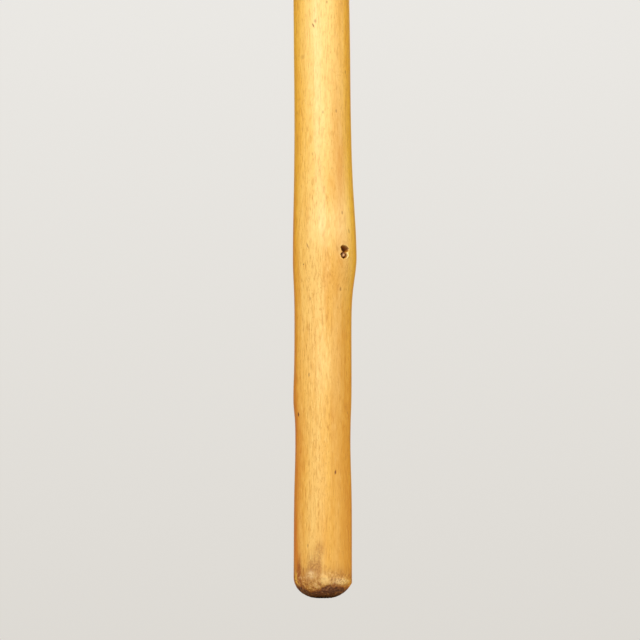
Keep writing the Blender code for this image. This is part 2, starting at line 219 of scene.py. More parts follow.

# Broad soft patches of tone on the skin, set in round numbers like the nicks. The pale ones on the front
# and above the open knot are painted highlights. The bare ones are where the worn edge is scraped to
# whitish wood, and they carry painted glints as well.
Patch = namedtuple("Patch", "height facing wide long strength")
PATCHES = {
    "amber": [
        Patch(60 * MM, -72, 5 * MM, 48 * MM, 1.0),
        Patch(20 * MM, -68, 4 * MM, 20 * MM, 0.5),
        Patch(13 * MM, -53, 1.6 * MM, 7 * MM, 0.8),
        Patch(50 * MM, 65, 6 * MM, 60 * MM, 0.30),
        Patch(150 * MM, -80, 6 * MM, 40 * MM, 0.4),
        Patch(182 * MM, 33, 3.2 * MM, 38 * MM, 0.45),
        Patch(165 * MM, 27, 2.2 * MM, 26 * MM, 0.35),
    ],
    # Painted highlights: paler patches on the front of the shaft and on the upper slope of the open knot's
    # swelling
    "pale": [
        Patch(168 * MM, 50, 4 * MM, 14 * MM, 0.9),
        Patch(238 * MM, -9, 6 * MM, 45 * MM, 0.8),
        Patch(160 * MM, 7, 7 * MM, 12 * MM, 0.8),
        Patch(97 * MM, 4, 3.5 * MM, 16 * MM, 0.6),
        Patch(6.5 * MM, 4, 2.1 * MM, 2.6 * MM, 1.0),
    ],
    "deep": [
        Patch(192 * MM, 31, 3.2 * MM, 60 * MM, 1.0),
        Patch(179 * MM, 24, 4.2 * MM, 11 * MM, 0.9),
        Patch(135 * MM, 22, 3.0 * MM, 16 * MM, 0.6),
        Patch(24 * MM, 4, 4 * MM, 9 * MM, 0.9),
    ],
    "stain": [
        Patch(11 * MM, -53, 1.4 * MM, 5.5 * MM, 1.0),
        Patch(12 * MM, -20, 2.8 * MM, 4.5 * MM, 0.70),
        Patch(12 * MM, -7, 1.2 * MM, 4 * MM, 0.50),
        Patch(8 * MM, -36, 4 * MM, 3.5 * MM, 0.45),
        Patch(19 * MM, -6, 2 * MM, 3.5 * MM, 0.45),
        Patch(149.5 * MM, 25, 1.0 * MM, 1.6 * MM, 0.30),
    ],
    # Painted glints on the worn edge at the tip, laid as whitish scraped wood
    "scraped_and_glints": [
        Patch(6.1 * MM, 44, 5 * MM, 1.4 * MM, 1.0),
        Patch(8.9 * MM, -24, 1.8 * MM, 1.5 * MM, 0.75),
        Patch(7 * MM, -65, 0.8 * MM, 3.4 * MM, 0.9),
    ],
}


# --- Shapes ----------------------------------------------------------------------------------------


def outward(facing):
    """Unit vectors (x, y) at these facings, stacked on a last axis."""
    angle = np.radians(facing)
    return np.stack((np.sin(angle), -np.cos(angle)), axis=-1)


def points_round(facing, radius, height, centre=0.0):
    """Points (x, y, z) at these facings, distances from the axis or centre, and heights."""
    flat = centre + outward(facing) * radius[..., None]
    return np.concatenate((flat, height[..., None]), axis=-1)


def outward_vector(facing):
    return Vector((*outward(facing), 0))


def full_turn(sides):
    """Angles once round, in radians."""
    return np.linspace(0, math.tau, sides, endpoint=False)


def ease(share):
    share = np.clip(share, 0.0, 1.0)
    return share * share * (3 - 2 * share)


def turn_between(facing, other):
    return (facing - other + 180) % 360 - 180


def upper_knots():
    knots = []
    for i in range(UPPER_KNOTS):
        height = UPPER_KNOT_START + UPPER_KNOT_SPACING * (i + UPPER_KNOT_STAGGER * math.sin(2.3 * i))
        facing = OPEN_KNOT.facing + LEAF_ANGLE * (i + 1)
        rise = UPPER_KNOT_RISE + UPPER_KNOT_RISE_SPREAD * math.sin(1.9 * i + 1)
        knots.append(Knot(height, facing, rise, UPPER_KNOT_GIRTH, UPPER_KNOT_ABOVE, UPPER_KNOT_BELOW))
    return knots


KNOTS = [FAINT_KNOT, OPEN_KNOT] + upper_knots()


def swell(knot, z, facing):
    reach = np.where(z > knot.height, knot.above, knot.below)
    along = np.exp(-(((z - knot.height) / reach) ** 2))
    around = np.exp(-0.5 * (turn_between(facing, knot.facing) / KNOT_HALF_WIDTH) ** 2)
    return along * (knot.girth + knot.rise * around)


def shaft_radius(z, facing):
    taper = TIP_RADIUS + (TOP_RADIUS - TIP_RADIUS) * z / SEAT_BOTTOM
    angle = np.radians(facing)
    oval = OVAL_DEPTH * np.cos(2 * angle + OVAL_TWIST * z)
    facet = FACET_DEPTH * np.cos(5 * angle - FACET_TWIST * z)
    bumps = sum(swell(knot, z, facing) for knot in KNOTS + [WAIST])
    roundness = np.clip((SEAT_BOTTOM - z) / SEAT_BLEND, 0.0, 1.0)
    return taper + roundness * (oval + facet + bumps)


def shaft_centre(z):
    """Centre (x, y) of the shaft at these heights, on a last axis."""
    share = np.clip((z - STRAIGHT_TO) / (SEAT_BOTTOM - STRAIGHT_TO), 0.0, 1.0)
    window = (4 * share * (1 - share)) ** 2
    sway = np.cos(1.5 * np.pi * share)
    return np.stack((WANDER_X * window * sway, WANDER_Y * window), axis=-1)


def ridges(z, facing):
    """Faint long ridges of the wood's fibres and the whittling, a few hundredths of a millimetre high."""
    angle = np.radians(facing)
    height = 0.030 * np.sin(11 * angle + 21 * z + 0.6) * np.sin(37 * z + 1)
    height += 0.024 * np.sin(17 * angle - 33 * z) * np.cos(52 * z + 3 * np.cos(2 * angle))
    height += 0.014 * np.sin(29 * angle + 60 * z + 2 * np.sin(90 * z))
    height += 0.040 * np.sin(120 * z + 3 * np.cos(angle)) * np.cos(2 * angle + 1)
    return height * MM


def knife_reach(z):
    """1 along the knife flat, falling to 0 at the open knot and at the tip."""
    return ease((KNIFE_FLAT_TOP - z) / KNIFE_TOP_FADE) * ease(z / KNIFE_TIP_FADE)


def knife_flat(z, facing):
    """Depth taken off by the knife: most in the middle of the flat, with an edge on its left side."""
    turn = turn_between(facing, KNIFE_FLAT_FACING) / KNIFE_FLAT_HALF
    return KNIFE_FLAT_DEPTH * np.clip(1 - turn * turn, 0.0, 1.0) * knife_reach(z)


def knife_flat_shade(z, facing):
    """Painted shade on the knife flat: a crisp step at the flat's left edge, fading on its right."""
    turn = turn_between(facing, KNIFE_FLAT_FACING) / KNIFE_FLAT_HALF
    return ease((turn + 1) / KNIFE_EDGE) * ease((1 - turn) / KNIFE_SHADE_FADE) * knife_reach(z)


def spread(low, high, count, peaks):
    """Places from low to high, closer together round each peak of (middle, half width, gain)."""
    fine = np.linspace(low, high, 6000)
    density = np.ones_like(fine)
    for middle, half_width, gain in peaks:
        density += gain * np.exp(-(((fine - middle) / half_width) ** 2))
    total = np.concatenate(([0.0], np.cumsum((density[1:] + density[:-1]) / 2)))
    return np.interp(np.linspace(0, total[-1], count), total, fine)


def column_facings():
    """Facings round the shaft, closest at the open knot and closer on the front, from the back round."""
    peaks = [(0, 85, 0.7), (OPEN_KNOT.facing, 10, 3.0), (-65, 6, 0.8)]
    return spread(-180, 180, SHAFT_COLUMNS + 1, peaks)[:-1]


def row_heights(start):
    peaks = [
        (OPEN_KNOT.height + PIT_MIDDLE, 4.5 * MM, 11.0),
        (120 * MM, 120 * MM, 0.5),
        (TIP_WEAR, 6 * MM, 2.0),
    ]
    return spread(start, SEAT_BOTTOM, SHAFT_ROWS, peaks)


def side_frame(facing, reach, height):
    """Frame at this distance from the axis: X across, Y up the shaft, Z outwards."""
    direction = outward_vector(facing)
    up = Vector((0, 0, 1))
    turn = Matrix((up.cross(direction), up, direction)).transposed().to_4x4()
    return Matrix.Translation(direction * reach + up * height) @ turn


def placed(points, place):
    """Points moved by a frame."""
    place = np.array(place)
    return np.asarray(points) @ place[:3, :3].T + place[:3, 3]


def pit_frame():
    """Frame on the surface at the middle of the open knot."""
    reach = float(shaft_radius(OPEN_KNOT.height, OPEN_KNOT.facing))
    return side_frame(OPEN_KNOT.facing, reach, OPEN_KNOT.height)


def pit_reach(across, up):
    """0 in the middle of the knot's hole, 1 at its edge and more outside."""
    closeness = 0
    for lobe in PIT_LOBES:
        x, y = (across - lobe.across) / lobe.half_width, (up - lobe.up) / lobe.half_length
        uneven = 1 + 0.06 * np.sin(3 * np.arctan2(y, x) + 0.8) + 0.03 * np.sin(7 * np.arctan2(y, x))
        closeness = closeness + np.maximum(np.hypot(x, y) / uneven, 0.05) ** -LOBE_BLEND
    return closeness ** (-1 / LOBE_BLEND)


def sink_pit(points):
    """Sinks the knot's hole into the skin, with a healed lip on one side of it.

    Returns the moved points, how far each is from the hole's middle, and how much of the lip is there.
    """
    place = pit_frame()
    local = placed(points, place.inverted())
    across, up = local[..., 0], local[..., 1]
    near = np.abs(local[..., 2]) < 5 * MM
    reach = np.where(near, pit_reach(across, up), FAR)
    side = np.degrees(np.arctan2(up - PIT_MIDDLE, across))
    lip = np.exp(-(((reach - PIT_LIP_REACH) / PIT_LIP_HALF) ** 2))
    lip = lip * np.exp(-((turn_between(side, PIT_LIP_SIDE) / PIT_LIP_HALF_TURN) ** 2))
    bowl = np.sqrt(np.clip(1 - reach**2, 0.0, 1.0))
    direction = np.array(place.to_3x3().col[2])
    return points + (PIT_LIP * lip - PIT_DEPTH * bowl)[..., None] * direction, reach, lip


def warped_facing(z, facing):
    """Facing that the wood's fibres follow, which part round each knot."""
    warped = facing * 1.0
    for knot in KNOTS:
        turn = turn_between(facing, knot.facing)
        near = np.exp(-(((z - knot.height) / PARTING_LENGTH) ** 2) - (turn / PARTING_HALF_WIDTH) ** 2)
        push = PARTING_PUSH * near * min(1.0, knot.rise / PARTING_FULL_RISE)
        warped = warped - push * np.tanh(turn / PARTING_SPLIT)
    return warped


def worn_height(facing):
    """Height at which the worn edge meets the skin."""
    return TIP_WEAR + TIP_WEAR_LEAN * np.cos(np.radians(facing - TIP_WEAR_FACING))


def dirt_reach(facing):
    """Share of the worn edge that the dark dirt covers, which is less where it has been rubbed."""
    turn = turn_between(facing, RUBBED_FACING) / RUBBED_HALF
    return DIRT_REACH - RUBBED_DEPTH * np.exp(-(turn**2))


def skin_heights(facing):
    """Heights of the skin's grid: rows that follow the worn edge and are level further up."""
    level = row_heights(TIP_WEAR)[1:, None]
    settled = ease((level - TIP_WEAR) / WORN_EDGE_FADE)
    return level + (worn_height(facing) - TIP_WEAR)[None, :] * (1 - settled)


def shaft_surface(z, facing):
    """Points of the shaft's skin over a grid of heights and facings."""
    radius = shaft_radius(z, facing) + ridges(z, facing) * ease((SEAT_BOTTOM - z) / SEAT_BLEND)
    return points_round(facing, radius - knife_flat(z, facing), z, shaft_centre(z))


def tip_surface(shares, facing):
    """The worn edge, from the flat at share 0 to the shaft's skin at share 1, with chips and torn fibre."""
    share, facing = np.broadcast_arrays(shares[:, None], facing[None, :])
    wear = worn_height(facing)
    sweep = np.radians(TIP_SWEEP + TIP_SWEEP_LEAN * (wear - TIP_WEAR) / TIP_WEAR_LEAN)
    full = shaft_radius(wear, facing) + ridges(wear, facing) - knife_flat(wear, facing)
    radius = TIP_FLAT_RADIUS + (full - TIP_FLAT_RADIUS) * np.sin(share * sweep) / np.sin(sweep)
    height = wear * (1 - np.cos(share * sweep)) / (1 - np.cos(sweep))
    turn = np.radians(facing)
    torn = np.sin(9 * turn + 14 * share) * np.sin(23 * turn + 2) + 0.6 * np.sin(41 * turn - 22 * share)
    chips = np.exp(-(((share - 0.66) / 0.12) ** 2)) * (0.5 + 0.5 * np.sin(6 * turn + 1.3)) ** 3
    inward = TIP_ROUGHNESS * (0.5 + 0.5 * torn) * np.clip(1 - share, 0, 1) ** 0.5 + TIP_CHIPS * chips
    radius = radius - inward * np.sin(share * np.pi / 2)
    height = height + inward * np.cos(share * np.pi / 2)
    return points_round(facing, radius, height)


def end_face(shares, facing):
    """Rings of the worn flat, from near its centre outwards, slightly uneven."""
    share, facing = np.broadcast_arrays(shares[:, None], facing[None, :])
    turn = np.radians(facing)
    uneven = 0.5 + 0.5 * np.sin(5 * turn + 9 * share) * np.cos(3 * turn - 4 * share)
    height = 0.5 * TIP_ROUGHNESS * uneven * share
    return points_round(facing, TIP_FLAT_RADIUS * share, height)


def link_object(name, data):
    obj = bpy.data.objects.new(name, data)
    bpy.context.scene.collection.objects.link(obj)
    return obj


def skin_mesh(name, rings, first_centre, last_centre, attributes):
    """A closed mesh over rings of points, with a fan at each end.

    attributes maps a name to (value for each grid point, value at the two centres).
    """
    rows, columns = rings.shape[:2]
    verts = np.concatenate((rings.reshape(-1, 3), [first_centre], [last_centre]))
    index = np.arange(rows * columns).reshape(rows, columns)
    following = np.roll(index, -1, axis=1)
    quads = np.stack((index[:-1], following[:-1], following[1:], index[1:]), axis=-1).reshape(-1, 4)
    start, end = rows * columns, rows * columns + 1
    faces = quads.tolist()
    faces += [(start, int(b), int(a)) for a, b in zip(index[0], following[0])]
    faces += [(end, int(a), int(b)) for a, b in zip(index[-1], following[-1])]
    mesh = bpy.data.meshes.new(name)
    mesh.from_pydata(verts.tolist(), [], faces)
    for key, (grid, ends) in attributes.items():
        values = np.concatenate((grid.reshape(rows * columns, -1), np.atleast_2d(ends).reshape(2, -1)))
        kind = "FLOAT_VECTOR" if values.shape[1] == 3 else "FLOAT"
        layer = mesh.attributes.new(key, kind, "POINT")
        field = "vector" if kind == "FLOAT_VECTOR" else "value"
        layer.data.foreach_set(field, values.astype(np.float32).ravel())
    mesh.shade_smooth()
    mesh.validate()
    return link_object(name, mesh)


def add_piece(obj, material, slot, *nodes):
    obj.data.materials.clear()
    obj.data.materials.append(material)
    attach(obj, BODY)
    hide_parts(*nodes)
    return obj


def patch_weight(patches, z, facing):
    """How strongly a set of soft patches covers each grid point, from 0 to 1."""
    total = np.zeros_like(z)
    for patch in patches:
        arc = np.radians(turn_between(facing, patch.facing)) * TIP_RADIUS
        covered = np.exp(-((arc / patch.wide) ** 2) - (((z - patch.height) / patch.long) ** 2))
        total = total + patch.strength * covered
    return np.clip(total, 0.0, 1.0)


def build_shaft(material):
    facing = column_facings()
    columns = len(facing)
    flat_shares = np.linspace(0, 1, FLAT_RINGS + 1)[1:-1]
    tip_shares = np.linspace(0, 1, TIP_RINGS)
    heights = skin_heights(facing)
    skin, reach, lip = sink_pit(shaft_surface(heights, np.broadcast_to(facing, heights.shape)))
    seat_heights = np.repeat([[SEAT_BOTTOM], [SHAFT_TOP]], columns, axis=1)
    seat = points_round(facing, np.full((2, columns), SEAT_RADIUS), seat_heights)
    rings = np.concatenate((end_face(flat_shares, facing), tip_surface(tip_shares, facing), skin, seat))

    def over_skin(values, below, above):
        """A value for each grid point, with fixed values below and above the skin."""
        lower = np.full((len(flat_shares) + len(tip_shares), columns), below)
        return np.concatenate((lower, values, np.full((2, columns), above)))

    z = rings[..., 2]
    facings = np.broadcast_to(facing, z.shape)
    worn = over_skin(1 + (heights - worn_height(facing)) / STAIN_REACH, 0.0, FAR)
    worn[len(flat_shares) : len(flat_shares) + len(tip_shares)] = tip_shares[:, None]
    worn = worn - dirt_reach(facing)
    off_centre = rings[..., :2] - shaft_centre(z)
    radius = np.hypot(off_centre[..., 0], off_centre[..., 1])
    grain = points_round(warped_facing(z, facings), radius, z)
    top_centre = (0, 0, SHAFT_TOP)
    attributes = {
        "grain": (grain, ((0, 0, 0), top_centre)),
        "worn": (worn, (-DIRT_REACH, FAR)),
        "hollow": (over_skin(reach, FAR, FAR), (FAR, FAR)),
        # Where the painted highlight on the healed lip goes
        "lip_highlight": (over_skin(lip, 0.0, 0.0), (0.0, 0.0)),
    }
    for name, patches in PATCHES.items():
        weight = patch_weight(patches, z, facings)
        # The knife flat's painted shade is laid with the deep patches
        if name == "deep":
            weight = np.maximum(knife_flat_shade(z, facings), weight)
        attributes[name] = (weight, (0.0, 0.0))
    shaft = skin_mesh("peeled_shaft", rings, (0, 0, 0), top_centre, attributes)
    return add_piece(shaft, material, "peeled_wood", "shaft")


def build_knot_stub(material):
    """The dead branch's stub: a rough peg with a broken, domed end, sunk a little into the hole's wall."""
    turn = full_turn(STUB_SIDES)[None, :]
    share = np.linspace(0, 1, STUB_ROWS)[:, None]
    wobble = 1 + 0.10 * np.sin(3 * turn + 1) + 0.05 * np.sin(8 * turn + 3 * share)
    dome = np.clip((share - STUB_DOME_START) / STUB_DOME_LENGTH, 0, 1)
    radius = STUB_RADIUS * wobble * np.sqrt(np.clip(1 - dome**2, 0.02, 1))
    depth = -STUB_BOTTOM_DEPTH + (STUB_BOTTOM_DEPTH - STUB_TOP_DEPTH) * share + 0 * turn
    local = np.stack((radius * np.cos(turn), radius * np.sin(turn) - STUB_BELOW_CENTRE, depth), axis=-1)
    ends = [(0, -STUB_BELOW_CENTRE, -STUB_BOTTOM_DEPTH), (0, -STUB_BELOW_CENTRE, -STUB_TOP_DEPTH)]
    shift = np.array((0, STUB_BELOW_CENTRE, 0)) + np.array(PITH_OFFSET)
    grain = (local + shift, np.array(ends) + shift)
    place = pit_frame()
    stub = skin_mesh("branch_stub", placed(local, place), *placed(ends, place), {"grain": grain})
    return add_piece(stub, material, "dead_wood", "knot_stub")


def crook_stations():
    """(point, travel direction) along the crook, from its flat bottom to where the nose's dome starts."""
    stations = []
    for height in np.linspace(HANDLE_BOTTOM, BEND_START, LEG_STEPS, endpoint=False):
        stations.append((Vector((0, 0, height)), Vector((0, 0, 1))))
    for i in range(BEND_STEPS + 1):
        angle = math.radians(BEND_DEGREES * i / BEND_STEPS)
        x = CROOK_REACH * (1 - math.cos(angle))
        point = Vector((x, 0, BEND_START + CROOK_RISE * math.sin(angle)))
        travel = Vector((CROOK_REACH * math.sin(angle), 0, CROOK_RISE * math.cos(angle)))
        stations.append((point, travel.normalized()))
    end, travel = stations[-1]
    for i in range(1, NOSE_STEPS + 1):
        stations.append((end + travel * NOSE_LENGTH * i / NOSE_STEPS, travel))
    return stations


def crook_section(share):
    """Radius in the crook's plane and across it, this share of the way along."""
    slim = ease(share / GRIP_SHARE)
    flare = ease((share - GRIP_SHARE) / (1 - GRIP_SHARE))
    radius = TOP_RADIUS + (GRIP_RADIUS - TOP_RADIUS) * slim + (NOSE_RADIUS - GRIP_RADIUS) * flare
    return radius, radius + PALM_WIDENING * slim * (1 - flare)


def build_crook(material):
    stations = crook_stations()
    turn = full_turn(CROOK_SIDES)
    side = np.array((0, -1, 0))
    rings, grain, worn, amber = [], [], [], []
    length = 0.0

    def add_ring(point, travel, in_plane, across, nose):
        outer = np.array(Vector((0, -1, 0)).cross(travel))
        ridge = 1 + 0.003 * np.sin(7 * turn + 60 * length) + 0.002 * np.sin(13 * turn - 45 * length)
        u, v = in_plane * ridge * np.cos(turn), across * ridge * np.sin(turn)
        rings.append(np.array(point) + outer * u[:, None] + side * v[:, None])
        grain.append(np.stack((u, v, np.full_like(u, length)), axis=-1))
        worn.append(np.full_like(u, FAR * (1 - nose) - NOSE_END_GRAIN))
        palm = math.exp(-(((length - PALM_MIDDLE) / PALM_HALF_LENGTH) ** 2))
        amber.append(palm * (0.6 + 0.4 * np.cos(turn)))

    previous = stations[0][0]
    for i, (point, travel) in enumerate(stations):
        length += (point - previous).length
        previous = point
        add_ring(point, travel, *crook_section(i / (len(stations) - 1)), 0.0)
    end, travel = stations[-1]
    in_plane, across = crook_section(1.0)
    for i in range(1, DOME_STEPS):
        angle = i / DOME_STEPS * math.pi / 2
        point = end + travel * in_plane * NOSE_DOME * math.sin(angle)
        add_ring(point, travel, in_plane * math.cos(angle), across * math.cos(angle), i / DOME_STEPS)
    first = stations[0][0]
    last = end + travel * in_plane * NOSE_DOME
    attributes = {
        "grain": (np.array(grain), ((0, 0, 0), (0, 0, length))),
        "worn": (np.array(worn), (FAR, -NOSE_END_GRAIN)),
        "amber": (np.array(amber), (0.0, 0.0)),
        "hollow": (np.full((len(rings), CROOK_SIDES), FAR), (FAR, FAR)),
    }
    crook = skin_mesh("bent_crook", np.array(rings), first, last, attributes)
    return add_piece(crook, material, "handled_wood", "crook_handle")


def turned_rings(outline, sides):
    """Rings of points for an outline of (radius, height) turned about Z."""
    turn = full_turn(sides)
    outline = np.array(outline)
    x = outline[:, :1] * np.sin(turn)[None, :]
    y = -outline[:, :1] * np.cos(turn)[None, :]
    return np.stack((x, y, np.repeat(outline[:, 1:], sides, axis=1)), axis=-1)


def ring_mesh(name, rings):
    """A closed ring-shaped mesh: the last ring joins the first."""
    rows, columns = rings.shape[:2]
    index = np.arange(rows * columns).reshape(rows, columns)
    right, above = np.roll(index, -1, axis=1), np.roll(index, -1, axis=0)
    corner = np.roll(right, -1, axis=0)
    faces = np.stack((index, right, corner, above), axis=-1).reshape(-1, 4)
    mesh = bpy.data.meshes.new(name)
    mesh.from_pydata(rings.reshape(-1, 3).tolist(), [], faces.tolist())
    mesh.shade_smooth()
    mesh.set_sharp_from_angle(angle=math.radians(SHARP_FROM))
    return link_object(name, mesh)


def arc(centre, radius, start, end, steps):
    """Points of an arc between two angles in degrees."""
    angles = np.radians(np.linspace(start, end, steps + 1))
    return [(centre[0] + radius * math.cos(a), centre[1] + radius * math.sin(a)) for a in angles]


def build_spacer(material):
    """The washer, with a fully rounded rim."""
    half = (SPACER_TOP - SPACER_BOTTOM) / 2
    middle = (SPACER_TOP + SPACER_BOTTOM) / 2
    outline = [(SPACER_BORE_RADIUS, SPACER_BOTTOM)]
    outline += arc((SPACER_RADIUS - half, middle), half, -90, 90, SPACER_RIM_STEPS)
    outline += [(SPACER_BORE_RADIUS, SPACER_TOP)]
    spacer = ring_mesh("horn_spacer", turned_rings(outline, TURNED_SIDES))
    return add_piece(spacer, material, "horn", "spacer")


def engraved_line(face, height):
    return [(face, height - COLLAR_GROOVE), (face - COLLAR_GROOVE, height), (face, height + COLLAR_GROOVE)]


def build_collar(material):
    """The band, with a bead at each rim, a pair of engraved lines beside each, and small dents."""
    inner = SEAT_RADIUS + GAP
    outer = inner + COLLAR_WALL
    bead_centre = outer - COLLAR_BEAD / 4
    near, far = COLLAR_LINES
    plain = COLLAR_BOTTOM + (COLLAR_TOP - COLLAR_BOTTOM) * np.linspace(*COLLAR_PLAIN, COLLAR_PLAIN_ROWS)
    outline = [(inner, COLLAR_BOTTOM)]
    outline += arc((bead_centre, COLLAR_BOTTOM + COLLAR_BEAD), COLLAR_BEAD, -90, 70, BEAD_STEPS)
    outline += engraved_line(outer, COLLAR_BOTTOM + near) + engraved_line(outer, COLLAR_BOTTOM + far)
    outline += [(outer, height) for height in plain]
    outline += engraved_line(outer, COLLAR_TOP - far) + engraved_line(outer, COLLAR_TOP - near)
    outline += arc((bead_centre, COLLAR_TOP - COLLAR_BEAD), COLLAR_BEAD, -70, 90, BEAD_STEPS)
    outline += [(inner, COLLAR_TOP)]
    rings = turned_rings(outline, TURNED_SIDES)
    turn = full_turn(TURNED_SIDES)[None, :]
    height = rings[..., 2]
    dents = COLLAR_DENTS * np.sin(5 * turn + 400 * height) * np.sin(3 * turn - 900 * height + 1)
    outside = (np.hypot(rings[..., 0], rings[..., 1]) > inner + 0.4 * MM).astype(float)
    rings[..., :2] *= (1 + outside * dents / outer)[..., None]
    return add_piece(ring_mesh("brass_collar", rings), material, "brass", "collar")


def build_pin(material, node, facing):
    """A domed pin head on its shank, a little worn flat on top."""
    low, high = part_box(node)
    height = (low.z + high.z) / 2
    radius = (high.x - low.x) / 2
    dome = GAP + PIN_HEAD_EDGE
    outline = [(PIN_RADIUS, -PIN_SHANK), (PIN_RADIUS, GAP), (radius * PIN_HEAD_FOOT, GAP), (radius, dome)]
    for degrees in PIN_DOME_ANGLES:
        angle = math.radians(degrees)
        outline.append((radius * math.cos(angle), dome + PIN_HEAD_DOME * math.sin(angle)))
    ends = [(0, 0, -PIN_SHANK - PIN_POINT), (0, 0, dome + PIN_HEAD_DOME)]
    place = side_frame(facing, SEAT_RADIUS + GAP + COLLAR_WALL, height)
    rings = placed(turned_rings(outline, PIN_SIDES), place)
    pin = skin_mesh(node.replace("collar_pin", "pin_head"), rings, *placed(ends, place), {})
    pin.data.set_sharp_from_angle(angle=math.radians(SHARP_FROM))
    return add_piece(pin, material, "brass", node)


# --- Materials -------------------------------------------------------------------------------------


def colour(red, green, blue):
    """Linear colour from display values between 0 and 255."""
    def linear(value):
        value = value / 255
        return value / 12.92 if value <= 0.04045 else ((value + 0.055) / 1.055) ** 2.4
    return (linear(red), linear(green), linear(blue), 1.0)


RING_WOBBLE = 22.0  # how far the growth rings stray from circles, in radians of their wave
RING_SPACING = 1.3 * MM
# Painted highlight on the healed lip beside the knot's hole
LIP_HIGHLIGHT_COLOUR = colour(255, 234, 168)
HOLLOW_COLOUR = colour(134, 78, 40)
# Whitish scraped wood at the worn edge, which also carries painted glints
SCRAPED_AND_GLINT_COLOUR = colour(255, 224, 164)
# Painted shade: the warm tint that darkens the wood at grazing angles
GRAZING_SHADE_TINT = colour(254, 230, 34)

# Each wood's colours, the first of which is the colour of the painted highlights. The wood is lighter above
# the height pale_above, and changes over PALE_FADE either side.
PALE_FADE = 70 * MM
WoodTone = namedtuple("WoodTone", "pale light middle deep streak amber stain dark end pale_above")
PEELED = WoodTone(
    pale=colour(254, 222, 152),
    light=colour(248, 211, 130),
    middle=colour(240, 191, 94),
    deep=colour(222, 160, 65),
    streak=colour(194, 126, 46),
    amber=colour(206, 124, 32),
    stain=colour(148, 84, 38),
    dark=colour(88, 50, 32),
    end=colour(174, 124, 86),
    pale_above=150 * MM,
)
HANDLED = WoodTone(
    pale=colour(222, 168, 96),
    light=colour(214, 152, 78),
    middle=colour(190, 122, 54),
    deep=colour(152, 86, 34),
    streak=colour(112, 58, 22),
    amber=colour(150, 78, 26),
    stain=colour(96, 48, 20),
    dark=colour(58, 28, 13),
    end=colour(120, 76, 40),
    pale_above=-1.0,
)


class Graph:
    """The node tree of a material or a world, with one short call for each kind of node."""

    def __init__(self, owner, shader="Principled BSDF"):
        owner.use_nodes = True
        self.owner = owner
        self.tree = owner.node_tree
        self.shader = self.tree.nodes[shader]

    def put(self, socket, value):
        if isinstance(value, bpy.types.NodeSocket):
            self.tree.links.new(value, socket)
        else:
            socket.default_value = value

    def node(self, kind, inputs=None, **settings):
        node = self.tree.nodes.new(kind)
        for key, value in settings.items():
            setattr(node, key, value)
        for key, value in (inputs or {}).items():
            self.put(node.inputs[key], value)
        return node

    def attribute(self, name, output="Fac"):
        return self.node("ShaderNodeAttribute", attribute_name=name).outputs[output]

    def position(self, kind="Object"):
        return self.node("ShaderNodeTexCoord").outputs[kind]

    def height(self, vector):
        return self.node("ShaderNodeSeparateXYZ", {0: vector}).outputs["Z"]

    def length(self, vector):
        return self.node("ShaderNodeVectorMath", {0: vector}, operation="LENGTH").outputs["Value"]

    def stretch(self, vector, factors):
        return self.node("ShaderNodeVectorMath", {0: vector, 1: factors}, operation="MULTIPLY").outputs[0]

    def noise(self, vector, factors, detail=3.0, roughness=0.55, distortion=0.0):
        """Noise between 0 and 1, with this many cells to the metre along each axis."""
        inputs = {"Vector": self.stretch(vector, factors), "Scale": 1.0}
        inputs.update({"Detail": detail, "Roughness": roughness, "Distortion": distortion})
        return self.node("ShaderNodeTexNoise", inputs).outputs["Fac"]

    def dots(self, vector, factors, size, strength):
        """Dots of many sizes: each cell holds a ball, and a dot shows where the surface cuts it.

        factors are cells to the metre, and size is a share of a cell.
        """
        cells = self.node("ShaderNodeTexVoronoi", {"Vector": self.stretch(vector, factors), "Scale": 1.0})
        return self.span(cells.outputs["Distance"], size, size * 0.4, 0.0, strength)

    def span(self, value, low, high, to_low=0.0, to_high=1.0, curve="SMOOTHSTEP"):
        """value between low and high, moved smoothly to between to_low and to_high."""
        inputs = {"Value": value, "From Min": low, "From Max": high, "To Min": to_low, "To Max": to_high}
        return self.node("ShaderNodeMapRange", inputs, interpolation_type=curve).outputs["Result"]

    def math(self, operation, first, second=0.0):
        return self.node("ShaderNodeMath", {0: first, 1: second}, operation=operation).outputs[0]

    def times(self, first, second):
        return self.math("MULTIPLY", first, second)

    def plus(self, first, second):
        return self.math("ADD", first, second)

    def mix(self, share, first, second, blend="MIX"):
        """Two colours mixed. A Mix node's sockets 6 and 7 are its colours."""
        settings = {"data_type": "RGBA", "blend_type": blend, "clamp_result": True}
        return self.node("ShaderNodeMix", {0: share, 6: first, 7: second}, **settings).outputs[2]

    def mix_vectors(self, share, first, second):
        """Two vectors mixed. A Mix node's sockets 4 and 5 are its vectors."""
        inputs = {0: share, 4: first, 5: second}
        return self.node("ShaderNodeMix", inputs, data_type="VECTOR").outputs[1]

    def layer(self, under, over, mask, low, high, strength=1.0):
        """One colour laid over another: clear where mask is at low, and of this strength at high."""
        return self.mix(self.span(mask, low, high, 0.0, strength), under, over)

    def patch(self, under, over, name, mask, low, high, weak, strong):
        """One colour laid over another by a skin attribute, which mask makes weak or strong."""
        weight = self.times(self.attribute(name), self.span(mask, low, high, weak, strong))
        return self.mix(weight, under, over)

    def bump(self, height, distance, strength=1.0, normal=None):
        inputs = {"Strength": strength, "Distance": distance, "Height": height}
        if normal:
            inputs["Normal"] = normal
        return self.node("ShaderNodeBump", inputs).outputs["Normal"]

    def finish(self, **values):
        for name, value in values.items():
            self.put(self.shader.inputs[name.replace("_", " ")], value)
        return self.owner


